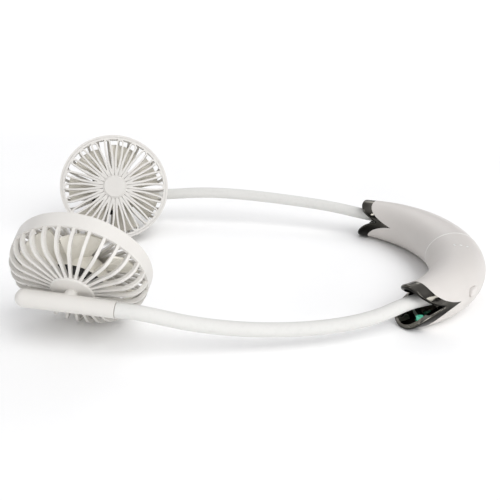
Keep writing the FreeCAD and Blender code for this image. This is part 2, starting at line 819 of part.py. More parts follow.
def make_rear_cage():
    body = new_body("RearCage")
    hub = size.hub_diameter / 2
    turned(body, "CageHub", [
        (size.tenon_diameter / 2 + size.swivel_play, size.hub_back),
        (hub - size.hub_round, size.hub_back, size.hub_round, 1),
        (hub, size.hub_back + size.hub_round),
        (hub, hub_front),
        (size.tenon_diameter / 2 + size.swivel_play, hub_front),
    ])
    sketch = new_sketch(body, "XZ_Plane", "CageRibSketch")
    root = hub - size.rib_bite * 2
    reach = rim_back_radius - size.rib_inset
    middle = reach - size.shoulder_radius
    inside = size.shoulder_radius - size.rib_depth
    bottom = size.rim_back - size.shoulder_radius
    outline(sketch, [
        (root, size.hub_back + size.hub_round / 2),
        (middle, bottom, size.shoulder_radius, 1),
        (reach, size.rim_back),
        (reach, size.rim_back + size.rib_bite),
        (reach - size.rib_depth, size.rim_back + size.rib_bite),
        (reach - size.rib_depth, size.rim_back, inside, -1),
        (middle, bottom + size.rib_depth),
        (root, size.hub_back + size.hub_round / 2 + size.rib_depth),
    ])
    rib = padded(body, "CageRib", sketch, size.rib_width, "Symmetric")
    round_pattern(body, "CageRibs", rib, size.rib_count)
    inner = rim_radius - size.rim_wall
    turned(body, "CageRim", [
        (rim_back_radius - size.rim_wall, size.rim_back),
        (rim_back_radius, size.rim_back),
        (rim_radius, size.rim_front),
        (inner, size.rim_front),
        (inner, ledge_level),
        (inner - size.rim_ledge, ledge_level),
        (inner - size.rim_ledge, ledge_level - size.rim_ledge_depth / 2),
        (rim_back_radius - size.rim_wall, ledge_level - size.rim_ledge_depth),
    ])
    return body


def make_front_grille():
    body = new_body("FrontGrille")
    hub = size.grille_hub / 2
    loop_back = size.rim_front - size.loop_depth
    crown = size.rim_front + size.grille_hub_rise
    turned(body, "GrilleHub", [
        (ZERO, loop_back),
        (hub, loop_back),
        (hub, size.rim_front),
        (hub - size.grille_hub_rise, crown),
        (ZERO, crown),
    ])
    sketch = new_sketch(body, "XY_Plane", "GrilleLoopSketch")
    sketch.setExpression("AttachmentOffset.Base.z", loop_back.text)
    half_tip = size.loop_tip / 2
    tip = ring_inner + size.loop_bite
    centre = tip - half_tip
    root = hub - size.loop_bite * 2
    half_root = size.loop_root / 2
    outline(sketch, [
        (root, -half_root, size.loop_bulge, 1),
        (centre, -half_tip, half_tip, 1),
        (tip, ZERO, half_tip, 1),
        (centre, half_tip, size.loop_bulge, 1),
        (root, half_root),
    ])
    inner_tip = half_tip - size.loop_width
    outline(sketch, [
        (size.loop_opening, ZERO, size.loop_bulge, 1),
        (centre, -inner_tip, inner_tip, 1),
        (centre + inner_tip, ZERO, inner_tip, 1),
        (centre, inner_tip, size.loop_bulge, 1),
    ])
    loop = padded(body, "GrilleLoop", sketch, size.loop_depth)
    round_pattern(body, "GrilleLoops", loop, size.petal_count)
    turned(body, "GrilleRing", [
        (ring_inner, ledge_level),
        (ring_outer, ledge_level),
        (ring_outer, size.rim_front),
        (ring_inner, size.rim_front),
    ])
    return body


def blade_section(body, name, radius, chord, pitch, camber):
    """Thin curved section of a blade, drawn across the radius."""
    sketch = new_sketch(body, "YZ_Plane", name)
    sketch.setExpression("AttachmentOffset.Base.z", radius.text)
    low = size.blade_middle - pitch / 2
    high = size.blade_middle + pitch / 2
    half = chord / 2
    outline(sketch, [
        (-half, low, camber, -1),
        (half, high - size.blade_thickness),
        (half, high, camber, 1),
        (-half, low + size.blade_thickness),
    ])
    return sketch


def make_impeller():
    body = new_body("Impeller")
    bore = size.shaft_diameter / 2 + size.clip_play
    boss = size.cup_boss / 2
    inner = cup_radius - size.cup_wall
    ceiling = cup_front - size.cup_wall
    turned(body, "ImpellerCup", [
        (bore, boss_back),
        (boss, boss_back),
        (boss, ceiling),
        (inner, ceiling),
        (inner, cup_front - size.cup_length),
        (cup_radius, cup_front - size.cup_length),
        (cup_radius, cup_front - size.cup_round, size.cup_round, 1),
        (cup_radius - size.cup_round, cup_front),
        (bore, cup_front),
    ])
    tip = size.impeller_diameter / 2
    root_sketch = blade_section(body, "BladeRoot", cup_radius - size.blade_bite, size.blade_root_chord,
                                size.blade_root_pitch, size.blade_root_camber)
    tip_sketch = blade_section(body, "BladeTip", tip, size.blade_tip_chord,
                               size.blade_tip_pitch, size.blade_tip_camber)
    blade = body.newObject("PartDesign::AdditiveLoft", "Blade")
    blade.Profile = root_sketch
    blade.Sections = [tip_sketch]
    round_pattern(body, "Blades", blade, size.blade_count)
    swept = cylinder("ImpellerSweep", size.impeller_diameter, cup_front, FreeCAD.Placement())
    return boolean("Common", "ImpellerTrimmed", body, swept)


def make_tube():
    """Tapered tube with a round end, a stub for the cage and channels for the cable."""
    rear = size.tube_rear - size.seam_gap
    tip = size.tube_tip_diameter / 2
    length = rear + size.tube_front
    barrel = turned_piece("TubeBarrel", [
        (ZERO, ZERO), (size.tube_seam_diameter / 2, ZERO),
        (tip, length - tip, tip, 1), (ZERO, length),
    ])
    barrel.Placement = FreeCAD.Placement(Vector(-rear.number, 0, 0), ALONG_X)
    foot = doc.addObject("Part::Cone", "TubeFoot")
    bind(foot, Radius1=size.stub_foot / 2, Radius2=size.stub_diameter / 2,
         Height=size.hub_back - size.stub_sink)
    foot.Placement = FreeCAD.Placement(Vector(0, 0, num.stub_sink), FreeCAD.Rotation())
    tenon = cylinder("TubeTenon", size.tenon_diameter, tenon_top, FreeCAD.Placement())
    solid = joined("TubeSolid", [barrel, foot, tenon])
    socket_depth = size.plug_reach + size.plug_end_gap
    start = FreeCAD.Placement(Vector(-num.tube_rear, 0, 0), ALONG_X)
    socket = cylinder("TubeSocket", size.plug_diameter + size.swivel_play * 2, socket_depth, start)
    channel_bore = size.lead_diameter + size.lead_play * 2
    channel = cylinder("TubeChannel", channel_bore, size.tube_rear + channel_bore / 2, start)
    riser = cylinder("TubeRiser", size.lead_diameter + size.lead_play * 3, tenon_top + size.cut_overrun,
                     FreeCAD.Placement())
    return boolean("Cut", "Tube", solid, joined("TubeHollow", [socket, channel, riser]))


def make_small_head_pieces():
    clip_bore = size.tenon_diameter / 2 + size.clip_play
    clip = turned_piece("HeadClip", [
        (clip_bore, hub_front), (size.clip_diameter / 2, hub_front),
        (size.clip_diameter / 2, tenon_top), (clip_bore, tenon_top),
    ])
    plate = turned_piece("MotorPlate", [
        (size.plate_hole / 2, hub_front), (size.plate_diameter / 2, hub_front),
        (size.plate_diameter / 2, plate_front), (size.plate_hole / 2, plate_front),
    ])
    radius = size.motor_diameter / 2
    bore = size.shaft_diameter / 2 + size.shaft_play
    shaft_back = motor_front - size.shaft_depth
    motor = turned_piece("Motor", [
        (ZERO, plate_front), (radius, plate_front),
        (radius, motor_front - size.motor_round, size.motor_round, 1),
        (radius - size.motor_round, motor_front),
        (bore, motor_front), (bore, shaft_back), (ZERO, shaft_back),
    ])
    shaft = size.shaft_diameter / 2
    shaft_piece = turned_piece("MotorShaft", [
        (ZERO, shaft_back + size.shaft_play), (shaft, shaft_back + size.shaft_play),
        (shaft, cup_front), (ZERO, cup_front),
    ])
    return clip, plate, motor, shaft_piece


def make_plug():
    """Plug on the end of an arm, drawn along Z from the seam."""
    bore = size.core_bore / 2
    return turned_piece("SwivelPlug", [
        (bore, -size.plug_tail), (size.core_diameter / 2, -size.plug_tail),
        (size.core_diameter / 2, ZERO), (size.plug_diameter / 2, ZERO),
        (size.plug_diameter / 2, size.plug_reach), (bore, size.plug_reach),
    ])


def make_head_lead():
    """Cable from the plug along the tube and up the stub to the motor."""
    start = -num.tube_rear + num.plug_reach
    bend = num.lead_diameter * LEAD_BEND_SHARE
    slant = bend * (1 - math.cos(math.radians(QUARTER_TURN / 2)))
    edges = [
        Part.LineSegment(Vector(start, 0, 0), Vector(-bend, 0, 0)).toShape(),
        Part.Arc(Vector(-bend, 0, 0), Vector(-slant, 0, slant), Vector(0, 0, bend)).toShape(),
        Part.LineSegment(Vector(0, 0, bend), Vector(0, 0, plate_front.number)).toShape(),
    ]
    section = Part.Wire(Part.makeCircle(num.lead_diameter / 2, Vector(start, 0, 0), Vector(1, 0, 0)))
    return form("HeadLead", Part.Wire(edges).makePipeShell([section], True, False))


def head_place(side, level, tilt):
    """Frame of a fan head: X to the tube's free end, Z along the fan's axis."""
    toe = math.radians(num.toe_in)
    climb = math.radians(num.rise)
    lean = math.radians(tilt)
    along = Vector(-math.cos(climb) * math.cos(toe), -side * math.cos(climb) * math.sin(toe), math.sin(climb))
    inward = Vector(math.sin(toe), -side * math.cos(toe), 0)
    above = Vector(math.sin(climb) * math.cos(toe), side * math.sin(climb) * math.sin(toe), math.cos(climb))
    axis = inward * math.cos(lean) + above * math.sin(lean)
    turn = FreeCAD.Rotation(along, axis.cross(along), axis, "XZY")
    return FreeCAD.Placement(Vector(num.head_x, side * num.head_y, level), turn)


# Arms

def route_wire(points, start_extra, end_extra):
    """Straight runs joined by tangent arcs; the extras lengthen the first and last run."""
    runs = [after - before for before, after in zip(points, points[1:])]
    ways = [Vector(run).normalize() for run in runs]
    here = points[0] - ways[0] * start_extra
    edges = []
    for corner, run, after, way, way_on in zip(points[1:], runs, runs[1:], ways, ways[1:]):
        turn = run.getAngle(after)
        setback = CORNER_SHARE * min(run.Length, after.Length)
        radius = setback / math.tan(turn / 2)
        start = corner - way * setback
        stop = corner + way_on * setback
        bulge = radius / math.cos(turn / 2) - radius
        middle = corner + (way_on - way).normalize() * bulge
        edges += [Part.LineSegment(here, start).toShape(), Part.Arc(start, middle, stop).toShape()]
        here = stop
        print("bend radius %.0f" % radius)
    edges.append(Part.LineSegment(here, points[-1] + ways[-1] * end_extra).toShape())
    return Part.Wire(edges)


def hose(wire, diameter, bore):
    """Tube along a route, hollow where it has a bore; its volume is compared with its length."""
    first = wire.OrderedEdges[0]
    start = first.valueAt(first.FirstParameter)
    way = first.tangentAt(first.FirstParameter)
    solids = []
    for width in (diameter, bore):
        if width > 0:
            section = Part.Wire(Part.makeCircle(width / 2, start, way))
            solids.append(wire.makePipeShell([section], True, False))
    made = solids[0].cut(solids[1]) if len(solids) > 1 else solids[0]
    expected = math.pi / 4 * (diameter ** 2 - bore ** 2) * wire.Length
    print("hose volume over expected %.4f" % (made.Volume / expected))
    return made


def make_arm(side, word, level, tilt, middle_points, masters):
    head = head_place(side, level, tilt)
    root = housing_place.multiply(neck_place(side))
    seam = Vector(-num.tube_rear, 0, 0)
    lead_in = Vector(-num.tube_rear - num.neck_lead_in, 0, 0)
    points = [root.multVec(Vector(-num.neck_root, 0, 0)), root.multVec(Vector(num.neck_straight, 0, 0))]
    points += [Vector(*point) for point in middle_points]
    points += [head.multVec(lead_in), head.multVec(seam)]
    sleeve = route_wire(points, 0, 0)
    core = route_wire(points, 0, -num.plug_tail)
    lead = route_wire(points, num.ferrule_length + num.lead_tail, num.plug_reach)
    finish(form(word + "Gooseneck", hose(sleeve, num.neck_diameter, num.neck_bore)), word + "_gooseneck")
    finish(form(word + "Core", hose(core, num.core_diameter, num.core_bore)), word + "_neck_core")
    finish(form(word + "Lead", hose(lead, num.lead_diameter, 0)), word + "_neck_lead")
    at_seam = FreeCAD.Placement(seam, ALONG_X)
    placed_copy(masters["swivel_plug"], word + "_swivel_plug", head.multiply(at_seam))
    behind = FreeCAD.Placement(Vector(-num.neck_root - num.ferrule_length, 0, 0), ALONG_X)
    placed_copy(masters["neck_ferrule"], word + "_neck_ferrule", root.multiply(behind))
    for name in ("tube", "rear_cage", "front_grille", "head_clip", "motor_plate", "motor", "head_lead",
                 "impeller", "motor_shaft"):
        placed_copy(masters[name], word + "_" + name, head)


def make_arms():
    clip, plate, motor, shaft = make_small_head_pieces()
    ferrule = turned_piece("NeckFerrule", [
        (size.core_bore / 2, ZERO), (size.ferrule_diameter / 2, ZERO),
        (size.ferrule_diameter / 2, size.ferrule_length), (size.core_bore / 2, size.ferrule_length),
    ])
    masters = {
        "tube": make_tube(), "rear_cage": make_rear_cage(), "front_grille": make_front_grille(),
        "impeller": make_impeller(), "head_clip": clip, "motor_plate": plate, "motor": motor,
        "motor_shaft": shaft, "head_lead": make_head_lead(), "swivel_plug": make_plug(),
        "neck_ferrule": ferrule,
    }
    make_arm(LEFT, "left", num.left_head_level, num.left_tilt, LEFT_ROUTE, masters)
    make_arm(RIGHT, "right", num.right_head_level, num.right_tilt, RIGHT_ROUTE, masters)


def write_parts():
    doc.recompute()
    for thing in doc.Objects:
        if "Invalid" in thing.State or "Error" in thing.State:
            raise RuntimeError("%s did not build: %s" % (thing.Name, thing.State))
    for label, thing in finished.items():
        if thing.Shape.isNull() or not thing.Shape.isValid() or not thing.Shape.Solids:
            raise RuntimeError("%s has no valid solid" % label)
    os.makedirs("parts", exist_ok=True)
    for label, thing in finished.items():
        solids = thing.Shape.Solids
        shape = solids[0] if len(solids) == 1 else Part.makeCompound(solids)
        shape.exportStep("parts/%s.step" % label)
        print("%s: %d solid(s), %.1f mm3" % (label, len(solids), thing.Shape.Volume))


make_housing()
make_lights()
make_power_pack()
make_controls()
make_arms()
write_parts()
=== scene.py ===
import json
import math
import bpy
from mathutils import Matrix, Vector


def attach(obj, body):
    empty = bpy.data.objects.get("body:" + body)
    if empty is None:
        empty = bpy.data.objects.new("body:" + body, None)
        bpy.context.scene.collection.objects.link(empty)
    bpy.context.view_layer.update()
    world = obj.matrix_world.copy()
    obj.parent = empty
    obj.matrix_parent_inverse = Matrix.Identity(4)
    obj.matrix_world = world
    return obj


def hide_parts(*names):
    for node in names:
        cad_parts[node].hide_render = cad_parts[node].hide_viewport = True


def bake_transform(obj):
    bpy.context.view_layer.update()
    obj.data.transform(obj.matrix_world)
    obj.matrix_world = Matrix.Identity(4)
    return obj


# Neck fan on a pale floor. Lengths are in metres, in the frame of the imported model.

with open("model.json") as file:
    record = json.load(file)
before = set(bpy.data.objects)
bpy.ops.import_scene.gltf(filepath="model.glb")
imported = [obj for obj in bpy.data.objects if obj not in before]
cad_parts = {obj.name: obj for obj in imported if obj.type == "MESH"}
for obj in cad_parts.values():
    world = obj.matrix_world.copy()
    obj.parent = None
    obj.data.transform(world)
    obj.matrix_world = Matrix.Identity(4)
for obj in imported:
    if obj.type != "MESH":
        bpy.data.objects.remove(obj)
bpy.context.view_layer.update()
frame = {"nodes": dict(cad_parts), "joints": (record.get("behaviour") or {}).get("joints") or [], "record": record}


# Patterns for materials. Their scales are in spots per metre, their relief in metres.

SOFT_DETAIL = 3.0
FINE_DETAIL = 2.0
# The range of a noise pattern that holds most of its values
PATTERN_MIDDLE = (0.3, 0.7)


def new_material(name, rough, **sockets):
    """A shader with a place to hang textures on, and its constant sockets set."""
    made = bpy.data.materials.new(name)
    made.use_nodes = True
    tree = made.node_tree
    shader = tree.nodes["Principled BSDF"]
    shader.inputs["Roughness"].default_value = rough
    for socket, value in sockets.items():
        shader.inputs[socket.replace("_", " ")].default_value = value
    where = tree.nodes.new("ShaderNodeTexCoord").outputs["Object"]
    return made, tree, shader, where


def noise(tree, where, spots, detail=SOFT_DETAIL, stretch=(1, 1, 1)):
    """Soft random pattern."""
    mapping = tree.nodes.new("ShaderNodeMapping")
    mapping.inputs["Scale"].default_value = stretch
    tree.links.new(where, mapping.inputs["Vector"])
    node = tree.nodes.new("ShaderNodeTexNoise")
    node.inputs["Scale"].default_value = spots
    node.inputs["Detail"].default_value = detail
    tree.links.new(mapping.outputs["Vector"], node.inputs["Vector"])
    return node.outputs["Fac"]


def cells(tree, where, spots):
    """Random facets."""
    node = tree.nodes.new("ShaderNodeTexVoronoi")
    node.inputs["Scale"].default_value = spots
    tree.links.new(where, node.inputs["Vector"])
    return node.outputs["Distance"]


def ramp(tree, factor, low, high, start=0.35, stop=0.65):
    """Two colours mixed by a pattern."""
    node = tree.nodes.new("ShaderNodeValToRGB")
    node.color_ramp.elements[0].position = start
    node.color_ramp.elements[1].position = stop
    node.color_ramp.elements[0].color = (*low, 1)
    node.color_ramp.elements[1].color = (*high, 1)
    tree.links.new(factor, node.inputs["Fac"])
    return node.outputs["Color"]


def map_range(tree, factor, source, target):
    """A value carried over from one range to another."""
    node = tree.nodes.new("ShaderNodeMapRange")
    for socket, value in zip(("From Min", "From Max", "To Min", "To Max"), (*source, *target)):
        node.inputs[socket].default_value = value
    tree.links.new(factor, node.inputs["Value"])
    return node.outputs["Result"]


def bump(tree, shader, height, depth):
    """Small relief of this depth."""
    node = tree.nodes.new("ShaderNodeBump")
    node.inputs["Distance"].default_value = depth
    tree.links.new(height, node.inputs["Height"])
    tree.links.new(node.outputs["Normal"], shader.inputs["Normal"])


def tinted(colour, share):
    """A colour made darker or lighter by a share."""
    return tuple(min(part * share, 1.0) for part in colour)


# Materials

MOULD_CLOUDS = 26
MOULD_CLOUD_SHARE = 0.95
MOULD_GLOSS_SPOTS = 70
MOULD_GLOSS_SWING = 0.07
MOULD_GRAIN = 2600
MOULD_RELIEF = 0.00001


def moulded(name, colour, rough, grain=MOULD_GRAIN):
    """Moulded plastic: fine tool grain, faint clouds in the colour, uneven gloss."""
    made, tree, shader, where = new_material(name, rough)
    clouds = noise(tree, where, MOULD_CLOUDS)
    shade = ramp(tree, clouds, tinted(colour, MOULD_CLOUD_SHARE), colour)
    tree.links.new(shade, shader.inputs["Base Color"])
    glosses = (rough - MOULD_GLOSS_SWING, rough + MOULD_GLOSS_SWING)
    gloss = map_range(tree, noise(tree, where, MOULD_GLOSS_SPOTS), PATTERN_MIDDLE, glosses)
    tree.links.new(gloss, shader.inputs["Roughness"])
    bump(tree, shader, noise(tree, where, grain, FINE_DETAIL), MOULD_RELIEF)
    return made


SLEEVE_DUST = 420
SLEEVE_DUST_DETAIL = 6.0
SLEEVE_DUST_SHARE = 0.97
SLEEVE_GLOSS_SPOTS = 60
SLEEVE_GLOSSES = (0.48, 0.62)
SLEEVE_GRAIN = 3400
SLEEVE_RELIEF = 0.000012


def silicone(name, colour, rough):
    """Soft matt sleeve with a fine skin and a little dust."""
    made, tree, shader, where = new_material(name, rough, Sheen_Weight=0.12, Sheen_Roughness=0.4)
    dust = noise(tree, where, SLEEVE_DUST, SLEEVE_DUST_DETAIL)
    shade = ramp(tree, dust, tinted(colour, SLEEVE_DUST_SHARE), colour, start=0.3, stop=0.5)
    tree.links.new(shade, shader.inputs["Base Color"])
    gloss = map_range(tree, noise(tree, where, SLEEVE_GLOSS_SPOTS), PATTERN_MIDDLE, SLEEVE_GLOSSES)
    tree.links.new(gloss, shader.inputs["Roughness"])
    bump(tree, shader, noise(tree, where, SLEEVE_GRAIN, FINE_DETAIL), SLEEVE_RELIEF)
    return made


PLATING_CLOUDS = 34
PLATING_GLOSS_SPOTS = 160
PLATING_GLOSSES = (0.04, 0.11)
PLATING_WAVES = 120
PLATING_WAVE_DETAIL = 1.0
PLATING_WAVE_DEPTH = 0.0005
# Painted shade: the plating keeps less of its colour where the surface looks down, which darkens its reflection of
# the floor: upward slopes and shares kept
PAINTED_SHADE_SLOPES = (-0.15, 0.5)
PAINTED_SHADE_SHARES = (0.10, 1.0)


def plated(name, dark, light, rough):
    """Dark bright plating, slightly wavy as on moulded parts, with painted shade on what faces down."""
    made, tree, shader, where = new_material(name, rough, Metallic=1.0)
    facing = tree.nodes.new("ShaderNodeSeparateXYZ")
    tree.links.new(where.node.outputs["Normal"], facing.inputs["Vector"])
    # Painted shade: the colour is scaled down where the surface faces down
    painted_shade = map_range(tree, facing.outputs["Z"], PAINTED_SHADE_SLOPES, PAINTED_SHADE_SHARES)
    shaded = tree.nodes.new("ShaderNodeVectorMath")
    shaded.operation = "SCALE"
    tree.links.new(ramp(tree, noise(tree, where, PLATING_CLOUDS), dark, light), shaded.inputs[0])
    tree.links.new(painted_shade, shaded.inputs["Scale"])
    tree.links.new(shaded.outputs["Vector"], shader.inputs["Base Color"])
    gloss = map_range(tree, noise(tree, where, PLATING_GLOSS_SPOTS), PATTERN_MIDDLE, PLATING_GLOSSES)
    tree.links.new(gloss, shader.inputs["Roughness"])
    bump(tree, shader, noise(tree, where, PLATING_WAVES, PLATING_WAVE_DETAIL), PLATING_WAVE_DEPTH)
    return made


BRUSH_LINES = 900
BRUSH_STRETCH = (1, 1, 12)
BRUSH_SHARE = 0.8
BRUSH_GLOSSES = (0.22, 0.38)
BRUSH_RELIEF = 0.000008


def brushed(name, colour, rough):
    """Plain steel with fine lines."""
    made, tree, shader, where = new_material(name, rough, Metallic=1.0)
    lines = noise(tree, where, BRUSH_LINES, FINE_DETAIL, BRUSH_STRETCH)
    shade = ramp(tree, lines, tinted(colour, BRUSH_SHARE), colour)
    tree.links.new(shade, shader.inputs["Base Color"])
    gloss = map_range(tree, lines, PATTERN_MIDDLE, BRUSH_GLOSSES)
    tree.links.new(gloss, shader.inputs["Roughness"])
    bump(tree, shader, lines, BRUSH_RELIEF)
    return made


LENS_RELIEF = 0.0003


def lens(name, dark, light, facets, rough, **sockets):
    """Milky plastic lens with small facets inside."""
    made, tree, shader, where = new_material(name, rough, IOR=1.49, **sockets)
    gem = cells(tree, where, facets)
    shade = ramp(tree, gem, dark, light, start=0.1, stop=0.7)
    tree.links.new(shade, shader.inputs["Base Color"])
    bump(tree, shader, gem, LENS_RELIEF)
    return made


PAPER_CLOUDS = 9
PAPER_CLOUD_DETAIL = 5.0
PAPER_CLOUD_SHARE = 0.985
PAPER_GRAIN = 900
PAPER_RELIEF = 0.00002
# The paper glows a little away from the middle, so that it stays as pale as the room behind it
GLOW_DISTANCES = (0.4, 1.6)
GLOW_STRENGTHS = (0.0, 0.35)


def paper(name, colour, rough):
    """Pale paper with faint clouds, a soft grain and a glow in the distance."""
    made, tree, shader, where = new_material(name, rough, Emission_Color=(1, 1, 1, 1))
    away = tree.nodes.new("ShaderNodeVectorMath")
    away.operation = "LENGTH"
    tree.links.new(where, away.inputs[0])
    glow = map_range(tree, away.outputs["Value"], GLOW_DISTANCES, GLOW_STRENGTHS)
    tree.links.new(glow, shader.inputs["Emission Strength"])
    clouds = noise(tree, where, PAPER_CLOUDS, PAPER_CLOUD_DETAIL)
    shade = ramp(tree, clouds, tinted(colour, PAPER_CLOUD_SHARE), colour)
    tree.links.new(shade, shader.inputs["Base Color"])
    bump(tree, shader, noise(tree, where, PAPER_GRAIN), PAPER_RELIEF)
    return made


# Finishes of the model's material slots

WARM_WHITE = (0.635, 0.605, 0.575)
HEAD_WHITE = (0.71, 0.69, 0.655)
BEAD_WHITE = (0.88, 0.87, 0.85)
SLEEVE_WHITE = (0.68, 0.675, 0.65)
FLOOR_WHITE = (0.985, 0.985, 0.98)
# The button has the shell's colour, painted a little lighter as a highlight on its raised top
BUTTON_HIGHLIGHT_SHARE = 1.06

FINISHES = {
    "shell_white": (moulded, dict(colour=WARM_WHITE, rough=0.40)),
    "bezel_dark": (plated, dict(dark=(0.08, 0.076, 0.067), light=(0.26, 0.247, 0.218), rough=0.07)),
    "inner_black": (moulded, dict(colour=(0.03, 0.03, 0.03), rough=0.5)),
    "battery_wrap": (moulded, dict(colour=(0.06, 0.16, 0.42), rough=0.25, grain=900)),
    "board_green": (moulded, dict(colour=(0.02, 0.14, 0.06), rough=0.35, grain=1800)),
    "steel": (brushed, dict(colour=(0.62, 0.62, 0.63), rough=0.3)),
    "lens_clear": (lens, dict(dark=(0.80, 0.80, 0.78), light=(0.93, 0.93, 0.92), facets=900, rough=0.3,
                              Transmission_Weight=0.1)),
    # The green lens has a painted glow: its emission makes it bright inside the shaded mouth
    "lens_green": (lens, dict(dark=(0.03, 0.30, 0.21), light=(0.30, 0.75, 0.60), facets=420, rough=0.10,
                              Emission_Color=(0.05, 0.34, 0.22, 1), Emission_Strength=0.9)),
    # Button: shell colour with a painted highlight
    "button_grey": (moulded, dict(colour=tinted(WARM_WHITE, BUTTON_HIGHLIGHT_SHARE), rough=0.32)),
    "silicone_white": (silicone, dict(colour=SLEEVE_WHITE, rough=0.55)),
    "cable_black": (moulded, dict(colour=(0.02, 0.02, 0.02), rough=0.6)),
    "head_white": (moulded, dict(colour=HEAD_WHITE, rough=0.40)),
    "cage_white": (moulded, dict(colour=HEAD_WHITE, rough=0.38)),
    "grille_white": (moulded, dict(colour=HEAD_WHITE, rough=0.38)),
    "motor_black": (moulded, dict(colour=(0.012, 0.012, 0.012), rough=0.45)),
    "motor_steel": (brushed, dict(colour=(0.5, 0.5, 0.5), rough=0.3)),
    "impeller_grey": (moulded, dict(colour=(0.82, 0.79, 0.71), rough=0.28)),
}
finishes = {name: make(name, **values) for name, (make, values) in FINISHES.items()}

slot_of = {row["node"]: row["material_slot"] for row in frame["record"]["subparts"]}
for node, thing in frame["nodes"].items():
    thing.material_slots[0].material = finishes[slot_of[node]]


# Round meshes

RING_STEPS = 40
UP = Vector((0, 0, 1))


def ring(centre, across, above, diameter):
    """Points of a circle round a centre, in the plane of two directions."""
    turns = [2 * math.pi * step / RING_STEPS for step in range(RING_STEPS)]
    return [centre + (across * math.cos(turn) + above * math.sin(turn)) * (diameter / 2) for turn in turns]


def band(first, second):
    """Faces between two rings, each given by the number of its first point."""
    steps = [(step, (step + 1) % RING_STEPS) for step in range(RING_STEPS)]
    return [(first + step, first + after, second + after, second + step) for step, after in steps]


def mesh_piece(name, points, faces, smooth_faces):
    """Object of these faces, of which the first so many are smooth."""
    mesh = bpy.data.meshes.new(name)
    mesh.from_pydata(points, [], faces)
    mesh.update()
    for face in mesh.polygons:
        face.use_smooth = face.index < smooth_faces
    made = bpy.data.objects.new(name, mesh)
    bpy.context.scene.collection.objects.link(made)
    return made


# Bendable arms: sleeve, core and cable, each in two halves that meet between the arm's two hinges

LEFT_ROUTE = (
    (0.1080, -0.0584, 0.0175), (0.1025, -0.0606, 0.0175), (0.0913, -0.0651, 0.0175),
    (0.0802, -0.0696, 0.0175), (0.0580, -0.0810, 0.0138), (0.0280, -0.0896, 0.0125),
    (-0.0090, -0.0950, 0.0139), (-0.0450, -0.0974, 0.0188), (-0.0741, -0.0977, 0.0266),
    (-0.0815, -0.09645, 0.02695), (-0.0889, -0.0952, 0.0273), (-0.1047, -0.0925, 0.0281),
)
RIGHT_ROUTE = (
    (0.1120, 0.0593, 0.0175), (0.1066, 0.0619, 0.0175), (0.0958, 0.06715, 0.0175),
    (0.0851, 0.0724, 0.0175), (0.0600, 0.0818, 0.0202), (0.0280, 0.0900, 0.0219),
    (-0.0080, 0.0952, 0.0242), (-0.0420, 0.0976, 0.0252), (-0.0741, 0.0977, 0.0227),
    (-0.0815, 0.09645, 0.02305), (-0.0889, 0.0952, 0.0234), (-0.1047, 0.0925, 0.0242),
)
ROUTE_ORDER = 3
ROUTE_STEPS = 16
LEAST_STEP_SHARE = 0.01

# Outer diameter and bore of each tube
SLEEVE_SIZES = (0.0085, 0.0058)
CORE_SIZES = (0.0057, 0.0027)
LEAD_SIZES = (0.0024, 0.0004)

# Where the tubes end along the route, measured from its two ends
LEAD_TAIL = 0.006
PLUG_REACH = 0.016
PLUG_TAIL = 0.008

hinges = {joint["name"]: Vector(joint["pos_m"]) for joint in frame["joints"] if "pos_m" in joint}


def smooth_line(name, points):
    """Points along a smooth curve that has the route's points as its controls."""
    curve = bpy.data.curves.new(name, "CURVE")
    curve.dimensions = "3D"
    curve.resolution_u = ROUTE_STEPS
    spline = curve.splines.new("NURBS")
    spline.points.add(len(points) - 1)
    for point, place in zip(spline.points, points):
        point.co = (*place, 1)
    spline.order_u = ROUTE_ORDER
    spline.use_endpoint_u = True
    holder = bpy.data.objects.new(name, curve)
    line = [vertex.co.copy() for vertex in bpy.data.meshes.new_from_object(holder).vertices]
    bpy.data.objects.remove(holder)
    return line


def cut_line(line, start, stop):
    """The stretch of a line between two distances along it."""
    kept = []
    gone = 0.0
    for before, after in zip(line, line[1:]):
        step = (after - before).length
        low = max((start - gone) / step, 0)
        high = min((stop - gone) / step, 1)
        if high - low > LEAST_STEP_SHARE:
            if not kept:
                kept.append(before.lerp(after, low))
            kept.append(before.lerp(after, high))
        gone += step
    return kept


def line_length(line):
    """Length of a line of points."""
    return sum((after - before).length for before, after in zip(line, line[1:]))


def distance_to(line, spot):
    """How far along a line its nearest point to a spot lies."""
    nearest = min(range(len(line)), key=lambda index: (line[index] - spot).length)
    return line_length(line[:nearest + 1])


def ring_frames(line):
    """A level direction across the line and one square to it, at each point."""
    ways = [(after - before).normalized() for before, after in zip(line, line[1:])]
    ways = [ways[0]] + [(one + two).normalized() for one, two in zip(ways, ways[1:])] + [ways[-1]]
    levels = [way.cross(UP).normalized() for way in ways]
    return [(level, level.cross(way)) for level, way in zip(levels, ways)]


def tube(name, line, diameter, bore, capped_first):
    """Tube along a line, with the gap between its two skins closed at its first or its last ring."""
    points = []
    for width in (diameter, bore):
        for centre, (across, above) in zip(line, ring_frames(line)):
            points += ring(centre, across, above, width)
    inner = len(line) * RING_STEPS
    last = inner - RING_STEPS
    faces = []
    for start in range(0, last, RING_STEPS):
        faces += band(start + RING_STEPS, start)
        faces += band(inner + start, inner + start + RING_STEPS)
    sides = len(faces)
    faces += band(0, inner) if capped_first else band(inner + last, last)
    return mesh_piece(name, points, faces, sides)


def bending_half(name, node, line, sizes, capped_first):
    """One half of a sleeve, core or cable, as a smooth tube in place of the model's part."""
    made = tube(name, line, *sizes, capped_first)
    made.data.materials.append(finishes[slot_of[node]])
    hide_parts(node)
    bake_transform(made)


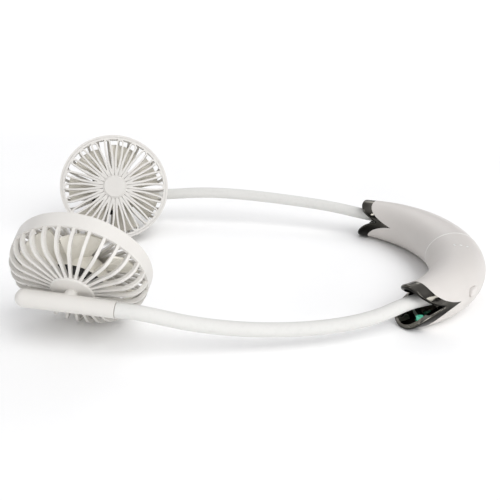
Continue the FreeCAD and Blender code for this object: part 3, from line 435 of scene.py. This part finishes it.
def arm(side, route):
    """Both halves of an arm's sleeve, core and cable, which meet between its two hinges."""
    line = smooth_line(side + "_route", route)
    whole = line_length(line)
    spread_hinge = hinges[side + "_spread"]
    lift_hinge = hinges[side + "_lift"]
    middle = distance_to(line, (spread_hinge + lift_hinge) / 2)
    stretches = {
        "gooseneck": (LEAD_TAIL, whole - PLUG_REACH, SLEEVE_SIZES),
        "neck_core": (LEAD_TAIL, whole - PLUG_REACH - PLUG_TAIL, CORE_SIZES),
        "neck_lead": (0.0, whole, LEAD_SIZES),
    }
    for piece, (start, stop, sizes) in stretches.items():
        node = side + "_" + piece
        near = cut_line(line, start, middle)
        far = cut_line(line, middle, stop)
        bending_half(node + "_root", node, near, sizes, True)
        bending_half(node + "_end", node, far, sizes, False)


arm("left", LEFT_ROUTE)
arm("right", RIGHT_ROUTE)


# Pale bead in the groove between the two halves of the housing

HOUSING_CENTRE = Vector((0.0554, 0.0023, 0))
HOUSING_YAW = math.radians(-1.95)
BEND_RADIUS = 0.076
MID_WIDTH = 0.0376
MID_HEIGHT = 0.0336
BEAD_SINK = 0.00035
BEAD_DIAMETER = 0.0009
BEAD_STEPS = 160
BEAD_ROUGHNESS = 0.3


def seam_bead():
    """Round bead along the oval where the halves meet, in one closed loop."""
    turned = Matrix.Translation(HOUSING_CENTRE) @ Matrix.Rotation(HOUSING_YAW, 4, "Z")
    along = Vector((0, 1, 0))
    points = []
    for step in range(BEAD_STEPS):
        turn = 2 * math.pi * step / BEAD_STEPS
        out = Vector((math.cos(turn) * MID_HEIGHT, 0, math.sin(turn) * MID_WIDTH)).normalized()
        reach = BEND_RADIUS + MID_WIDTH / 2 * math.cos(turn)
        height = MID_HEIGHT / 2 * (1 + math.sin(turn))
        centre = Vector((reach, 0, height)) - out * BEAD_SINK
        points += [turned @ point for point in ring(centre, out, along, BEAD_DIAMETER)]
    faces = []
    for start in range(0, len(points), RING_STEPS):
        faces += band(start, (start + RING_STEPS) % len(points))
    made = mesh_piece("seam_bead", points, faces, len(faces))
    made.data.materials.append(moulded("bead_white", BEAD_WHITE, BEAD_ROUGHNESS))
    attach(made, "housing")


seam_bead()


# Floor

FLOOR_SIZE = 60
FLOOR_ROUGHNESS = 0.85

bpy.ops.mesh.primitive_plane_add(size=FLOOR_SIZE)
floor = bpy.context.object
floor.name = "floor"
floor.data.materials.append(paper("floor_paper", FLOOR_WHITE, FLOOR_ROUGHNESS))


# Light

SUN_POWER = 1.38
SUN_WIDTH = math.radians(50)
SUN_TILT = (math.radians(22), math.radians(30), 0)
# Height of the sight line, as a share of straight up, and the grey seen there
SKY_LEVELS = ((0.01, 0.98), (0.14, 0.90), (0.21, 0.08), (0.75, 0.60))
SKY_BLUE_SHARE = 1.03


def softbox(name, place, target, width, height, power):
    """Soft light of this width and height that faces a target."""
    light = bpy.data.lights.new(name, "AREA")
    light.shape = "RECTANGLE"
    light.size = width
    light.size_y = height
    light.energy = power
    made = bpy.data.objects.new(name, light)
    made.location = place
    made.rotation_mode = "QUATERNION"
    made.rotation_quaternion = (Vector(target) - Vector(place)).to_track_quat("-Z", "Y")
    made.visible_camera = False
    bpy.context.scene.collection.objects.link(made)


def sky_light():
    """Broad light from above that glossy surfaces don't mirror."""
    light = bpy.data.lights.new("sky_light", "SUN")
    light.energy = SUN_POWER
    light.angle = SUN_WIDTH
    made = bpy.data.objects.new("sky_light", light)
    made.rotation_euler = SUN_TILT
    made.visible_glossy = False
    bpy.context.scene.collection.objects.link(made)


def studio_world():
    """Room whose greys follow the height of the sight line, from level to straight up."""
    world = bpy.data.worlds.new("studio")
    world.use_nodes = True
    tree = world.node_tree
    direction = tree.nodes.new("ShaderNodeTexCoord").outputs["Generated"]
    height = tree.nodes.new("ShaderNodeSeparateXYZ")
    tree.links.new(direction, height.inputs["Vector"])
    greys = tree.nodes.new("ShaderNodeValToRGB")
    for place, grey in SKY_LEVELS:
        step = greys.color_ramp.elements.new(place)
        step.color = (grey, grey, grey * SKY_BLUE_SHARE, 1)
    greys.color_ramp.elements.remove(greys.color_ramp.elements[0])
    greys.color_ramp.elements.remove(greys.color_ramp.elements[-1])
    tree.links.new(height.outputs["Z"], greys.inputs["Fac"])
    tree.links.new(greys.outputs["Color"], tree.nodes["Background"].inputs["Color"])
    return world


softbox("key_light", place=(0.30, -0.60, 0.70), target=(0.0, 0.0, 0.02),
        width=0.3, height=0.3, power=0.6)
softbox("front_light", place=(0.02, -0.92, 0.16), target=(0.0, 0.0, 0.03),
        width=0.4, height=0.25, power=1.5)
softbox("near_strip", place=(0.652, -0.428, 0.259), target=(0.10, -0.07, 0.02),
        width=0.35, height=0.10, power=0.62)
softbox("far_strip", place=(-0.937, -0.341, 0.470), target=(0.095, 0.075, 0.02),
        width=0.30, height=0.07, power=0.60)
softbox("back_light", place=(0.10, 0.75, 0.75), target=(0.0, 0.0, 0.02),
        width=0.5, height=0.5, power=1.0)
softbox("floor_light", place=(0.10, 2.20, 1.30), target=(0.10, 2.20, 0.0),
        width=2.2, height=2.2, power=6.0)
sky_light()
bpy.context.scene.world = studio_world()
bpy.context.scene.view_settings.view_transform = "Standard"


# Camera at the photo's angle. Its sensor and focal length are in millimetres.

CAMERA_PLACE = (-0.039308, -0.397979, 0.206453)
CAMERA_RIGHT = Vector((0.9979, -0.05443, 0.03513))
CAMERA_ABOVE = Vector((-0.00857, 0.42659, 0.9044))
CAMERA_AHEAD = Vector((0.06422, 0.9028, -0.42523))
SENSOR_WIDTH = 36.0
FOCAL_LENGTH = 46.08

optics = bpy.data.cameras.new("camera")
optics.sensor_width = SENSOR_WIDTH
optics.lens = FOCAL_LENGTH
camera = bpy.data.objects.new("camera", optics)
facing = Matrix((CAMERA_RIGHT, CAMERA_ABOVE, -CAMERA_AHEAD)).transposed().to_4x4()
camera.matrix_world = Matrix.Translation(CAMERA_PLACE) @ facing
bpy.context.scene.collection.objects.link(camera)
bpy.context.scene.camera = camera
